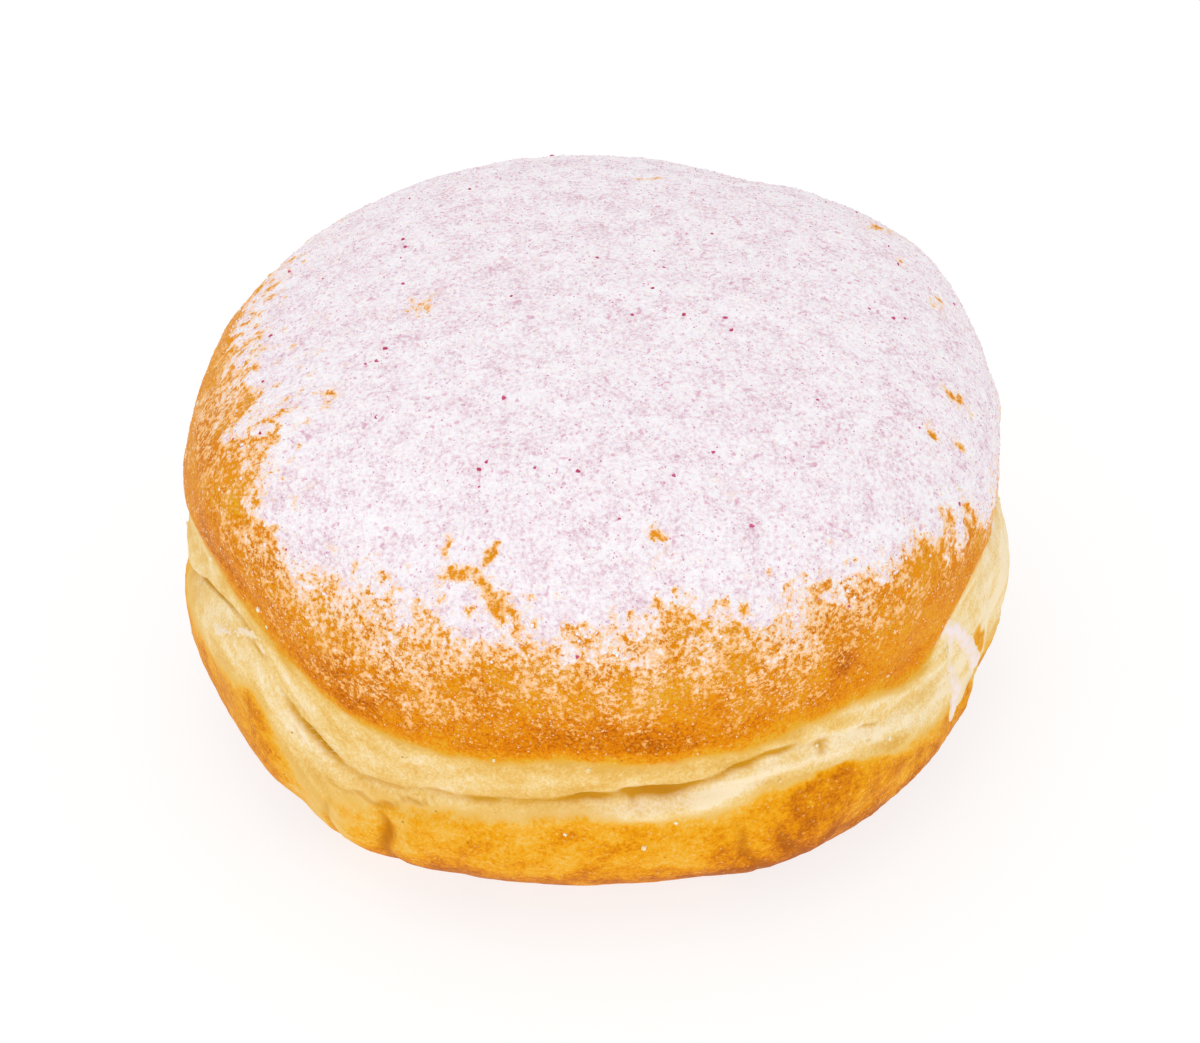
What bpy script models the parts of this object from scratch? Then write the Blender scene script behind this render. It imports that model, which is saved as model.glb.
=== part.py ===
"""A jam-filled yeast doughnut, fried on both sides and dusted on top: one solid piece of food.

Frame: metres, +Z up, origin at the middle of the flat spot that it rests on. The front is -Y.
Angles go round the vertical axis in degrees from the front, positive towards +X.

The form is a turned profile (flat spot, rounded base, lower lip, pale belt, rim, shoulder, dome)
that is then bent out of round. The belt climbs and falls, each half has its own lobes, and the
crease, the side folds, the pinches and the dimples of the crust are pressed into it.
"""

import math

import bpy
from mathutils import noise, Vector

MM = 0.001

# Driving dimensions
BELT_RADIUS = 43.4 * MM
HEIGHT = 51.0 * MM
CREASE_HEIGHT = 19.5 * MM
FLAT_RADIUS = 24.0 * MM
FLOOR_EASE = 6.0 * MM

# Stations of the turned profile, worked out from them
LIP_RADIUS = BELT_RADIUS + 0.7 * MM
LIP_HEIGHT = CREASE_HEIGHT - 4.0 * MM
RIM_RADIUS = BELT_RADIUS - 0.5 * MM
RIM_HEIGHT = CREASE_HEIGHT + 4.8 * MM
SHOULDER_RADIUS = BELT_RADIUS + 0.3 * MM
SHOULDER_HEIGHT = CREASE_HEIGHT + 11.5 * MM

# Roundness of the quarter curves: 1 is an ellipse, less is boxier
BASE_ROUNDNESS = 0.74
DOME_ROUNDNESS = 0.84

# How finely the profile is divided, and how often it is repeated round the axis
FLAT_STEPS = 2
BASE_STEPS = 9
LOWER_BELT_STEPS = 6
UPPER_BELT_STEPS = 6
RIM_STEPS = 3
DOME_STEPS = 13
ROUND_STEPS = 112

# The crease between the two halves: (angle, reach in degrees, rise)
CREASE_RISES = [
    (-60, 17, 9.5 * MM),
    (-31, 12, -3.4 * MM),
    (16, 22, 1.7 * MM),
    (52, 20, -1.2 * MM),
    (128, 32, 2.4 * MM),
    (-150, 30, -1.2 * MM),
]
# How the crease alone strays from the middle of the belt: (angle, reach in degrees, rise)
CREASE_STRAYS = [
    (-65, 12, -2.4 * MM),
    (2, 55, -2.1 * MM),
]
STRAY_REACH = 3.2 * MM
CREASE_DEPTH = 1.5 * MM
# The roll above the crease hangs over it, and the ledge below slopes gently out to the lip
CREASE_REACH_UP = 0.8 * MM
CREASE_REACH_DOWN = 1.7 * MM
# Where the crease is healed over: (angle, reach, share of its depth that is left out)
CREASE_HEALS = [
    (72, 30, 0.85),
    (26, 10, 0.3),
    (-50, 6, 0.4),
    (-165, 38, 0.6),
]

# Swellings and hollows of the outline: (angle, reach, height, reach in height, push outwards)
SWELLINGS = [
    (-80, 26, 16 * MM, 7 * MM, 0.5 * MM),
    (82, 15, 19 * MM, 6 * MM, 0.7 * MM),
    (92, 20, 34 * MM, 8 * MM, -1.2 * MM),
    (-97, 22, 35 * MM, 9 * MM, -1.2 * MM),
    (-160, 32, 45 * MM, 9 * MM, 0.6 * MM),
    (117, 12, 40 * MM, 7 * MM, 0.4 * MM),
    (0, 30, 8 * MM, 8 * MM, -0.5 * MM),
    (25, 18, 6.5 * MM, 8 * MM, 1.3 * MM),
    (-38, 14, 8 * MM, 9 * MM, 0.7 * MM),
    (-54, 9, 9 * MM, 7 * MM, 0.5 * MM),
]

# Folds that lie along the crease: (angle, reach, height above the crease, half width, depth)
BELT_FOLDS = [
    (-32, 7, 2.2 * MM, 0.6 * MM, 0.5 * MM),
    (-38, 9, -3.0 * MM, 0.9 * MM, 0.9 * MM),
    (48, 9, 1.2 * MM, 0.7 * MM, 0.5 * MM),
    (-120, 14, 3.0 * MM, 0.9 * MM, 0.6 * MM),
]

# Folds that run down the lower half: (angle, lean in degrees a metre of height, reach, depth)
SIDE_FOLDS = [
    (-31, 0, 2.4, 1.1 * MM),
    (-46, 500, 3.0, 0.8 * MM),
    (19, -600, 2.6, 0.6 * MM),
    (70, 300, 3.0, 1.3 * MM),
    (118, -300, 3.0, 0.9 * MM),
    (-128, 400, 2.8, 0.9 * MM),
    (172, 200, 3.2, 0.8 * MM),
]
FOLD_HEIGHT = 10.0 * MM
FOLD_REACH = 6.0 * MM

# Pinches and dimples of the crust: (angle, reach, height, reach in height, depth)
DIMPLES = [
    (76, 8, 26 * MM, 3.0 * MM, 1.2 * MM),
    (46, 4, 23 * MM, 1.8 * MM, 0.8 * MM),
    (-70, 12, 27 * MM, 2.5 * MM, 0.5 * MM),
    (150, 10, 44 * MM, 3.0 * MM, 0.9 * MM),
    (-120, 10, 27 * MM, 3.0 * MM, 1.0 * MM),
]

# Slow unevenness of the risen dough: (size of a swell, its height)
SWELLS = [(26.0 * MM, 0.55 * MM), (11.0 * MM, 0.22 * MM)]


def superellipse(share, roundness):
    """A point of the unit quarter curve: (1, 0) at share 0 and (0, 1) at share 1."""
    turn = share * math.pi / 2
    return math.cos(turn) ** roundness, math.sin(turn) ** roundness


def ease(share):
    """0 to 1 with level ends."""
    return share * share * (3 - 2 * share)


def bell(value, centre, reach):
    """1 at the centre, falling off over the reach on both sides."""
    return math.exp(-(((value - centre) / reach) ** 2))


def turn_between(angle, centre):
    """The angle from centre round to angle, in degrees from -180 to 180."""
    return (angle - centre + 180) % 360 - 180


def bend(lower, upper, steps):
    """Points from one station up to the next, with level ends to the curve."""
    points = []
    for i in range(steps):
        share = i / steps
        radius = lower[0] + (upper[0] - lower[0]) * ease(share)
        points.append((radius, lower[1] + (upper[1] - lower[1]) * share))
    return points


def profile_points():
    """The turned outline as (radius, height), from the axis below up to the top of the dome."""
    points = [(FLAT_RADIUS * i / FLAT_STEPS, 0.0) for i in range(FLAT_STEPS)]
    for i in range(BASE_STEPS):
        down, out = superellipse(i / BASE_STEPS, BASE_ROUNDNESS)
        radius = FLAT_RADIUS + (LIP_RADIUS - FLAT_RADIUS) * out
        points.append((radius, LIP_HEIGHT * (1 - down)))
    lip = (LIP_RADIUS, LIP_HEIGHT)
    crease = (BELT_RADIUS, CREASE_HEIGHT)
    rim = (RIM_RADIUS, RIM_HEIGHT)
    shoulder = (SHOULDER_RADIUS, SHOULDER_HEIGHT)
    points += bend(lip, crease, LOWER_BELT_STEPS)
    points += bend(crease, rim, UPPER_BELT_STEPS)
    points += bend(rim, shoulder, RIM_STEPS)
    for i in range(DOME_STEPS + 1):
        out, up = superellipse(i / DOME_STEPS, DOME_ROUNDNESS)
        height = SHOULDER_HEIGHT + (HEIGHT - SHOULDER_HEIGHT) * up
        points.append((SHOULDER_RADIUS * out, height))
    points[-1] = (0.0, HEIGHT)
    return points


def clear_scene():
    for obj in list(bpy.data.objects):
        bpy.data.objects.remove(obj)


def turned_body(collection):
    """The profile turned once round Z, as a mesh."""
    points = profile_points()[::-1]
    mesh = bpy.data.meshes.new("doughnut_profile")
    edges = [(i, i + 1) for i in range(len(points) - 1)]
    mesh.from_pydata([(radius, 0, height) for radius, height in points], edges, [])
    guide = bpy.data.objects.new("doughnut_profile", mesh)
    collection.objects.link(guide)
    turn = guide.modifiers.new("turn", "SCREW")
    turn.axis = "Z"
    turn.steps = turn.render_steps = ROUND_STEPS
    turn.use_merge_vertices = True
    turn.merge_threshold = 0.02 * MM
    bpy.context.view_layer.update()
    graph = bpy.context.evaluated_depsgraph_get()
    body = bpy.data.meshes.new_from_object(guide.evaluated_get(graph))
    bpy.data.objects.remove(guide)
    return body


def belt_share(height):
    """How much a point follows the crease up and down: 1 at the crease, 0 at the base and the top."""
    if height < CREASE_HEIGHT:
        return (height / CREASE_HEIGHT) ** 1.3
    return ((HEIGHT - height) / (HEIGHT - CREASE_HEIGHT)) ** 1.3


def lifted(stations, angle):
    """The rises of all stations together at an angle."""
    return sum(rise * bell(turn_between(angle, centre), 0, reach) for centre, reach, rise in stations)


def crease_rise(angle, height):
    """How far a point at a height of the turned profile climbs or falls with the belt."""
    stray = lifted(CREASE_STRAYS, angle) * bell(height, CREASE_HEIGHT, STRAY_REACH)
    return lifted(CREASE_RISES, angle) * belt_share(height) + stray


def crease_groove(angle, height):
    """How deep the crease and the folds beside it are pressed in at a height of the turned profile."""
    healed = 1.0
    for centre, reach, share in CREASE_HEALS:
        healed -= share * bell(turn_between(angle, centre), 0, reach)
    half_width = CREASE_REACH_UP if height > CREASE_HEIGHT else CREASE_REACH_DOWN
    groove = CREASE_DEPTH * max(healed, 0) * bell(height, CREASE_HEIGHT, half_width)
    for centre, reach, above, width, depth in BELT_FOLDS:
        along = bell(turn_between(angle, centre), 0, reach)
        groove += depth * along * bell(height, CREASE_HEIGHT + above, width)
    return groove


def outward_push(angle, height):
    """Swellings, folds and dimples at a height of the finished body."""
    push = 0.0
    for centre, reach, level, spread, amount in SWELLINGS:
        push += amount * bell(turn_between(angle, centre), 0, reach) * bell(height, level, spread)
    for centre, reach, level, spread, depth in DIMPLES:
        push -= depth * bell(turn_between(angle, centre), 0, reach) * bell(height, level, spread)
    for centre, lean, reach, depth in SIDE_FOLDS:
        line = centre + lean * (height - FOLD_HEIGHT)
        push -= depth * bell(turn_between(angle, line), 0, reach) * bell(height, FOLD_HEIGHT, FOLD_REACH)
    return push


def dough_swell(place):
    """Slow unevenness of the whole surface, the same at every run."""
    return sum(rise * noise.noise(place / size) for size, rise in SWELLS)


def shape_point(place):
    """Moves a point of the turned body to where the risen dough has it."""
    if place.z <= 0:
        return place
    radius = math.hypot(place.x, place.y)
    angle = math.degrees(math.atan2(place.x, -place.y))
    groove = crease_groove(angle, place.z)
    moved = place.copy()
    moved.z += crease_rise(angle, place.z)
    off_axis = min(1, radius / FLAT_RADIUS)
    off_floor = min(1, place.z / FLOOR_EASE)
    push = (outward_push(angle, moved.z) - groove) * off_axis + dough_swell(moved)
    away = Vector((moved.x, moved.y, moved.z - CREASE_HEIGHT)).normalized()
    return moved + away * push * off_floor


def fried_dough(name):
    """Golden crust."""
    material = bpy.data.materials.new(name)
    material.use_nodes = True
    shader = material.node_tree.nodes["Principled BSDF"]
    shader.inputs["Base Color"].default_value = (0.62, 0.26, 0.045, 1)
    shader.inputs["Roughness"].default_value = 0.62
    shader.inputs["Metallic"].default_value = 0
    return material


def centre_over_origin(mesh):
    """Slides the body level, so that the middle of its outline stands over the origin."""
    xs = [vertex.co.x for vertex in mesh.vertices]
    ys = [vertex.co.y for vertex in mesh.vertices]
    middle = Vector((min(xs) + max(xs), min(ys) + max(ys), 0)) / 2
    for vertex in mesh.vertices:
        vertex.co -= middle


def doughnut(collection):
    body = turned_body(collection)
    body.name = "doughnut"
    for vertex in body.vertices:
        vertex.co = shape_point(vertex.co.copy())
    centre_over_origin(body)
    body.materials.clear()
    body.materials.append(fried_dough("fried_dough"))
    body.shade_smooth()
    piece = bpy.data.objects.new("doughnut", body)
    collection.objects.link(piece)
    return piece


def main():
    clear_scene()
    collection = bpy.data.collections.new("jam_doughnut")
    bpy.context.scene.collection.children.link(collection)
    doughnut(collection)


main()
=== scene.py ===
"""The looks of a jam-filled yeast doughnut, dusted with fruit icing sugar.

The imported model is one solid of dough. Here its skin gets the crust, the pale belt with its crease
and wrinkles, and the browning. The sugar is a thin powder coat over the top, with loose grains,
crystals, fruit powder and a smear of melted sugar. All places are in the row's frame, in metres:
+Z up, the front is -Y, and angles go round from the front in degrees, positive towards +X.
"""

import math

import bmesh
import bpy
import numpy as np
from mathutils import Matrix, noise, Vector
from mathutils.bvhtree import BVHTree


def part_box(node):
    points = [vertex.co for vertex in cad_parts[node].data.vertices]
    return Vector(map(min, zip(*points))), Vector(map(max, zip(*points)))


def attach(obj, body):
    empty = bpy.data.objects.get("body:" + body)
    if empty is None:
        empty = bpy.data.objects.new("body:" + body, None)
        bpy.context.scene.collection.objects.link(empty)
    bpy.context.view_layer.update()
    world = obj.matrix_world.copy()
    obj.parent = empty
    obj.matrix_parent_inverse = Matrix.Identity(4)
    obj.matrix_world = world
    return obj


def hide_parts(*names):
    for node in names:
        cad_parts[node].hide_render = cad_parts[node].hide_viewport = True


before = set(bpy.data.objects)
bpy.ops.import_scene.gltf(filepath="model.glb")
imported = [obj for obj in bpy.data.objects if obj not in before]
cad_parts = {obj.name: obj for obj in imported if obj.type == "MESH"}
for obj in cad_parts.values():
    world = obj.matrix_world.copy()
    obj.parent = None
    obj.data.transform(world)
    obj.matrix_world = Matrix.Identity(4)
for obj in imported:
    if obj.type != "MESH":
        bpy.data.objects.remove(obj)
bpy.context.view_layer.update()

MM = 0.001
DEGREE = math.pi / 180

# ---- Landmarks of the dough, in mm above the flat spot unless they say otherwise ----

LOW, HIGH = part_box("doughnut")
HALF_WIDTH = (HIGH.x - LOW.x) / 2 / MM

# The crease between the two halves, as the solid has it: (angle, reach in degrees, rise)
CREASE_HEIGHT = 19.5
CREASE_RISES = [
    (-60, 17, 9.5), (-31, 12, -3.4), (16, 22, 1.7), (52, 20, -1.2), (128, 32, 2.4), (-150, 30, -1.2),
    (-65, 12, -2.4), (2, 55, -2.1),
]
# The solid's groove along it: its depth and its reach up and down in mm, then where it is healed,
# at (angle, reach in degrees, share)
GROOVE_DEPTH = 1.5
GROOVE_REACH_UP = 0.8
GROOVE_REACH_DOWN = 1.7
GROOVE_HEALS = [(72, 30, 0.85), (26, 10, 0.3), (-50, 6, 0.4), (-165, 38, 0.6)]
# The share of the groove that the risen dough has closed again, at (angle, share)
GROOVE_CLOSED = [
    (-180, 0.3), (-100, 0.25), (-75, 0.25), (-60, 0.35), (-54, 0.8), (-46, 0.85), (-42, 0.5),
    (-36, 0.5), (-31, 0.8), (-22, 0.9), (-14, 0.75), (-6, 0.6), (8, 0.6), (14, 0.7), (22, 0.85),
    (40, 0.9), (80, 0.9), (105, 0.6), (130, 0.3),
]

# Heights round the doughnut, at (angle, height)
CRUST_EDGE = [
    (-180, 25), (-130, 27), (-100, 30), (-74, 31.3), (-60, 30.6), (-50, 28.4), (-42, 25.6),
    (-32, 23.3), (-18, 22.9), (-5, 23.8), (4, 22.4), (15, 22.7), (26, 23.4), (35, 24.2), (44, 22.2),
    (47.5, 20.4), (51, 22.4), (54, 24.8), (58, 26.5), (61, 28.2), (66, 27.4), (71, 25.8), (78, 24),
    (86, 23.8), (100, 25), (125, 26.5), (155, 25),
]
UNDERSIDE_EDGE = [
    (-180, 14.5), (-140, 16), (-105, 17.5), (-80, 18.5), (-70, 19), (-62, 18.8), (-56, 20.3),
    (-52, 21), (-49, 20.5), (-47, 15.5), (-44, 13.5), (-40, 14.5), (-36, 14.5), (-32, 14.2),
    (-26, 15.2), (-18, 16.7), (-10, 17.2), (-4, 17.2), (4, 16.4), (10, 15.8), (14, 15.1), (18, 16.4),
    (24, 17.4), (31, 17.2), (38, 16.2), (44, 14.6), (50, 13.6), (56, 12.4), (75, 12), (95, 13.5),
    (130, 15),
]
# The dark line of the crease as it shows, at (angle, height), and how deep it is, at (angle, depth)
CREASE_LINE = [
    (-180, 18.5), (-140, 18.6), (-110, 18), (-85, 18.8), (-72, 24), (-64, 26.2), (-58, 27.6),
    (-53, 26.6), (-47, 22.6), (-42, 19.5), (-38, 17.3), (-34, 15.5), (-29, 16.4), (-24, 17.6),
    (-16, 17.7), (-10, 18.2), (-4, 18.2), (0, 19.1), (5, 18.7), (11, 18.7), (16, 20.2), (21, 21),
    (30, 20.6), (50, 18.6), (80, 19.5), (110, 21), (130, 21.5), (160, 19.5),
]
CREASE_LINE_DEPTH = [
    (-180, 0.5), (-100, 0.6), (-88, 0.8), (-72, 1.0), (-61, 0.9), (-55, 0.3), (-50, 0.02),
    (-46, 0.12), (-42.5, 0.7), (-38, 0.42), (-34, 0.22), (-28, 0.28), (-22, 0.45), (-10, 0.45),
    (-4, 0.55), (1, 0.85), (9, 0.85), (13, 0.55), (20, 0.45), (26, 0.14), (35, 0), (80, 0),
    (110, 0.5), (140, 0.6),
]
# How far the ledge under the crease is filled out and painted lighter, at (angle, share): the lighter colour
# is painted light on its upturned face
LEDGE_LIGHT = [
    (-180, 0), (-75, 0.2), (-66, 0.35), (-56, 0.35), (-44, 0.1), (-28, 0.3), (-14, 0.45), (-2, 0.9),
    (4, 1.2), (16, 1.1), (26, 0.8), (40, 0.5), (56, 0.3), (80, 0.5), (110, 0.1),
]
# How much browner than usual the rim is, at (angle, share)
RIM_BROWNING = [
    (-180, 0.1), (-100, 0.08), (-60, 0.04), (-40, 0.04), (-20, 0.03), (0, -0.03), (10, -0.04),
    (20, -0.08), (32, -0.12), (48, -0.18), (60, -0.14), (80, 0), (100, 0.05),
]
# How golden the lower half is where it begins, and how amber it turns below that, at (angle, share)
LOWER_GOLD = [
    (-180, 0.5), (-60, 0.5), (-50, 0.5), (-46, 0.2), (-36, 0.14), (-32, 0.34), (-27, 0.5),
]
LOWER_AMBER = [
    (-180, 0.3), (-110, 0.25), (-75, 0.10), (-58, 0.10), (-50, 0.16), (-46, 0.06), (-34, 0.06),
    (-28, -0.02), (0, -0.03), (14, 0), (20, 0.04), (24, 0.22), (31, 0.24), (37, 0.08), (43, 0.12),
    (50, 0.2), (58, 0.2), (80, 0.22), (130, 0.32),
]
# How high the sugar's edge lies, at (angle, height)
SUGAR_EDGE = [
    (-180, 38.5), (-140, 40), (-115, 41.5), (-96, 42), (-76, 43.6), (-62, 43.2), (-54, 41.4),
    (-47, 39), (-38, 36.4), (-26, 36.8), (-14, 36.6), (-6, 36.4), (2, 36.9), (8, 38.8), (12, 38.8),
    (16, 36.6), (24, 37.4), (32, 36.8), (42, 35.6), (50, 35), (58, 31.4), (70, 31.4), (82, 31.6),
    (100, 34), (120, 37), (150, 38),
]
# How much of the crust is still dusted below the sugar's edge, at (angle, share)
LOW_DUSTING = [
    (-180, 0.34), (-110, 0.36), (-74, 0.39), (-62, 0.37), (-50, 0.37), (-40, 0.44), (-28, 0.46),
    (-12, 0.43), (0, 0.44), (12, 0.44), (24, 0.43), (34, 0.40), (42, 0.32), (48, 0.26), (56, 0.28),
    (66, 0.38), (90, 0.42), (140, 0.38),
]

# Bare places in the sugar: (x, y, radius across, radius along, turn in degrees, how bare)
BARE_SPOTS = [
    (-14.2, -34.6, 2.0, 0.75, 65, 0.46),
    (-13.0, -36.6, 1.8, 0.75, -10, 0.59),
    (-11.2, -37.4, 1.6, 0.75, -35, 0.55),
    (-9.6, -39.2, 2.2, 0.9, -40, 0.67),
    (-9.8, -36.0, 1.5, 0.75, 50, 0.63),
    (5.6, -35.5, 1.1, 0.8, -20, 0.59),
    (-16.7, -2.6, 3.2, 2.6, 20, 0.38),
    (12.2, -30.0, 2.2, 2.0, 0, 0.36),
    (36.8, -11.6, 2.2, 1.6, 0, 0.54),
    (33.3, -18.0, 1.1, 1.5, 20, 0.54),
    (36.2, -17.6, 1.8, 0.8, 0, 0.46),
    (34.2, -25.0, 1.3, 1.2, 0, 0.50),
    (37.1, -22.8, 1.8, 1.6, 0, 0.48),
    (32.1, -29.6, 1.6, 1.4, 0, 0.50),
    (31.6, 17.2, 3.6, 2.2, 30, 0.48),
    (33.8, 8.4, 1.8, 2.6, 0, 0.42),
    (36.2, 3.6, 1.2, 2.4, 0, 0.50),
    (7.2, 23.8, 2.8, 0.9, 5, 0.48),
    (-25.6, -15.5, 2.0, 1.4, 70, 0.36),
    (-34.3, -11.3, 1.5, 2.5, 0, 0.4),
]

# Slits and short folds in the pale belt: (angle, height, length, tilt in degrees, depth, half width)
SLITS = [
    (-48.6, 15.2, 5.0, -70, 0.5, 0.70),
    (-44.5, 19.9, 5.0, -58, 0.25, 0.30),
    (-32.5, 14.5, 7.0, -4, 0.40, 0.28),
    (-25.5, 15.8, 6.0, 20, 0.40, 0.26),
    (50.5, 22.6, 2.4, 35, 0.35, 0.30),
    (3.6, 18.0, 2.6, -45, 0.30, 0.32),
    (20.0, 18.2, 5.0, 6, 0.12, 0.50),
    (52.0, 17.0, 9.0, 10, 0.12, 0.60),
    (-56.0, 22.0, 8.0, -50, 0.14, 0.60),
    (-64.0, 20.5, 5.0, -35, 0.14, 0.50),
    (96.0, 20.5, 6.0, 12, 0.6, 0.45),
    (140.0, 18.0, 7.0, -8, 0.6, 0.45),
    (-150.0, 20.5, 7.0, 9, 0.6, 0.45),
    (-115.0, 22.0, 5.0, -14, 0.6, 0.45),
]
# Toasted streaks in it that are hardly sunk at all, with how brown they are in place of the depth
STREAKS = [
    (-52.0, 25.4, 5.0, 0, 0.40, 0.40),
    (29.0, 19.9, 2.2, -70, 0.40, 0.75),
    (37.0, 19.4, 3.4, -6, 0.42, 0.22),
    (48.5, 21.0, 2.2, 14, 0.35, 0.30),
    (22.0, 21.0, 6.0, 4, 0.40, 0.40),
]

# Wrinkles that run down the lower half: (angle, lean, width, depth), and how high their middle is
WRINKLES = [
    (-30.3, 0.6, 0.8, 0.75),
    (-39.0, 0.5, 0.7, 0.35),
    (18.5, -2.0, 0.7, 0.45),
    (24.0, -2.5, 0.9, 0.25),
    (66.0, 3.0, 1.0, 0.60),
    (84.0, 3.0, 1.0, 0.50),
    (150.0, -2.0, 1.0, 0.50),
    (-104.0, 2.0, 1.0, 0.45),
]
WRINKLE_HEIGHT = 9.5

# Shallow bulges and hollows of the soft dough: (angle, height, reach in degrees, reach up, rise)
BULGES = [
    (-82.0, 24.5, 8, 2.0, 0.70),
    (-65.0, 15.0, 6, 3.0, -0.45),
    (-22.6, 7.0, 4, 3.0, -0.60),
    (21.5, 4.0, 5, 3.0, 0.50),
    (34.0, 8.0, 5, 3.5, -0.55),
    (43.0, 9.5, 6, 3.5, -0.55),
    (59.5, 12.5, 6, 3.0, -1.00),
    (71.0, 16.5, 5, 3.5, -0.60),
    (83.0, 25.0, 8, 3.5, -0.75),
    (76.0, 34.0, 5, 3.0, -0.40),
    (87.0, 34.0, 5, 2.5, 0.45),
    (130.0, 45.5, 6, 3.0, -0.35),
    (165.0, 47.0, 9, 3.0, -0.40),
]

# Runs of melted, tacky sugar: half width, thickness, and the places they pass, at (angle, height)
MELT_RUNS = [
    (1.0, 0.34, [(54.2, 23.4), (57, 21.6), (60, 18.6), (62, 15.8), (63, 14.2)]),
    (0.5, 0.22, [(55.2, 21.5), (55.2, 17.0), (55.8, 14.8)]),
    (1.1, 0.34, [(55.6, 15.6), (57.4, 13.6), (57.0, 11.2)]),
    (0.9, 0.30, [(78, 25), (80, 23.4)]),
    (0.7, 0.14, [(-63, 23.0), (-58, 24.6), (-54, 26.2), (-51.5, 26.8), (-50.8, 25.6)]),
]
# The thickness from which it shows, and how far its shell reaches beyond that, under the skin
MELT_SHOWS = 0.1
MELT_MARGIN = 1.8
# The scrap of browned crust that hangs beside it: (angle, height, reach)
FRIED_SCRAP = (63.8, 16.8, 1.9)
# A darker patch on the rim: (angle, height)
DARK_SPOT = (32.5, 29)


def hexed(code):
    """An sRGB hex colour as linear RGBA."""
    parts = [int(code[i:i + 2], 16) / 255 for i in (1, 3, 5)]
    return [p / 12.92 if p <= 0.04045 else ((p + 0.055) / 1.055) ** 2.4 for p in parts] + [1]


def smooth(low, high, value):
    """0 below low, 1 above high, and eased between."""
    share = np.clip((value - low) / (high - low), 0, 1)
    return share * share * (3 - 2 * share)


def bell(value, centre, reach):
    """1 at the centre, and down to about a third of that at the reach."""
    return np.exp(-(((value - centre) / reach) ** 2))


def turn_between(angle, centre):
    """How far an angle lies from the centre, the short way round: -180 to 180."""
    return (angle - centre + 180) % 360 - 180


# How many degrees to either side the values between stations are eased over, and how evenly
EASING = 6
EASING_REACH = 3.0


def around(stations, angle):
    """The value at each angle, eased between stations that lie round the doughnut."""
    places, values = zip(*stations)
    fan = np.arange(-EASING, EASING + 1)
    weights = bell(fan, 0, EASING_REACH)
    lines = [np.interp(angle + step, places, values, period=360) * w for step, w in zip(fan, weights)]
    return sum(lines) / weights.sum()


def crease_line(angle):
    """How high the crease runs at each angle."""
    rises = [rise * bell(turn_between(angle, at), 0, reach) for at, reach, rise in CREASE_RISES]
    return CREASE_HEIGHT + sum(rises)


def swell(points, size, seed, stretch=(1, 1, 1)):
    """Soft noise from about -1 to 1, its swells about size mm across, at points in mm."""
    scaled = points / (np.array(stretch) * size) + seed * 7.31
    return np.array([noise.noise(Vector(p)) for p in scaled])


def tilted(across, up, tilt):
    """Distances along a line that is tilted by this many degrees, and off it."""
    c, s = math.cos(tilt * DEGREE), math.sin(tilt * DEGREE)
    return across * c + up * s, up * c - across * s


def shown(name, data):
    """A new object of the scene."""
    thing = bpy.data.objects.new(name, data)
    bpy.context.scene.collection.objects.link(thing)
    return thing


# ---- The dough as the solid has it, smoothed, so that new skins can be laid on it ----

CORE = Vector((0, 0, CREASE_HEIGHT * MM))
MERGE_DISTANCE = 0.001 * MM
FACET_ANGLE = 40 * DEGREE


def dough_tree():
    """A search tree of the solid with its facets smoothed out."""
    shape = bmesh.new()
    shape.from_mesh(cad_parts["doughnut"].data)
    bmesh.ops.remove_doubles(shape, verts=shape.verts[:], dist=MERGE_DISTANCE)
    bmesh.ops.join_triangles(
        shape, faces=shape.faces[:], angle_face_threshold=FACET_ANGLE, angle_shape_threshold=FACET_ANGLE
    )
    mesh = bpy.data.meshes.new("dough_guide")
    shape.to_mesh(mesh)
    shape.free()
    guide = shown("dough_guide", mesh)
    rounding = guide.modifiers.new("rounding", "SUBSURF")
    rounding.levels = rounding.render_levels = 2
    bpy.context.view_layer.update()
    graph = bpy.context.evaluated_depsgraph_get()
    tree = BVHTree.FromObject(guide, graph)
    bpy.data.objects.remove(guide)
    return tree


DOUGH = dough_tree()


def laid_on_dough(directions):
    """Where rays from the core, in these directions, leave the dough: an array of points in mm."""
    points = np.empty((len(directions), 3))
    for i, direction in enumerate(directions):
        hit = DOUGH.ray_cast(CORE, Vector(direction))[0]
        points[i] = hit / MM
    return points


class Site:
    """Points on the dough with what their place decides: the angle, the height, how far over the dark
    line of the crease they are, and where the fried halves end."""

    def __init__(self, directions):
        self.out = directions / np.linalg.norm(directions, axis=1)[:, None]
        self.at = laid_on_dough(self.out)
        self.angle = np.degrees(np.arctan2(self.at[:, 0], -self.at[:, 1]))
        self.height = self.at[:, 2]
        self.crease = crease_line(self.angle)
        ahead, behind = around(CREASE_LINE, self.angle + 0.5), around(CREASE_LINE, self.angle - 0.5)
        climb = (ahead - behind) / (DEGREE * HALF_WIDTH)
        self.over_line = (self.height - around(CREASE_LINE, self.angle)) / np.sqrt(1 + climb ** 2)
        self.crust_edge = around(CRUST_EDGE, self.angle)
        self.under_edge = around(UNDERSIDE_EDGE, self.angle)

    def across(self, angle):
        """How far round from this angle each point lies, in mm."""
        return turn_between(self.angle, angle) * DEGREE * HALF_WIDTH


# ---- Where the sugar lies ----

# The heights between which bare spots begin to show, in mm
BARE_HEIGHTS = (28, 32)
# How far below and above its edge the coat thins out, in mm
COAT_FADE = (-3.6, 2.4)


def bareness(site):
    """How bare the sugar is at each point: 0 to 1."""
    bare = np.zeros(len(site.at))
    for x, y, wide, long, turn, depth in BARE_SPOTS:
        run, off = tilted(site.at[:, 0] - x, site.at[:, 1] - y, turn)
        near = np.exp(-((run / wide) ** 2) - ((off / long) ** 2))
        bare = np.maximum(bare, depth * near)
    return 0.88 * bare * (1 + 0.9 * swell(site.at, 1.1, 6)) * smooth(*BARE_HEIGHTS, site.height)


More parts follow.
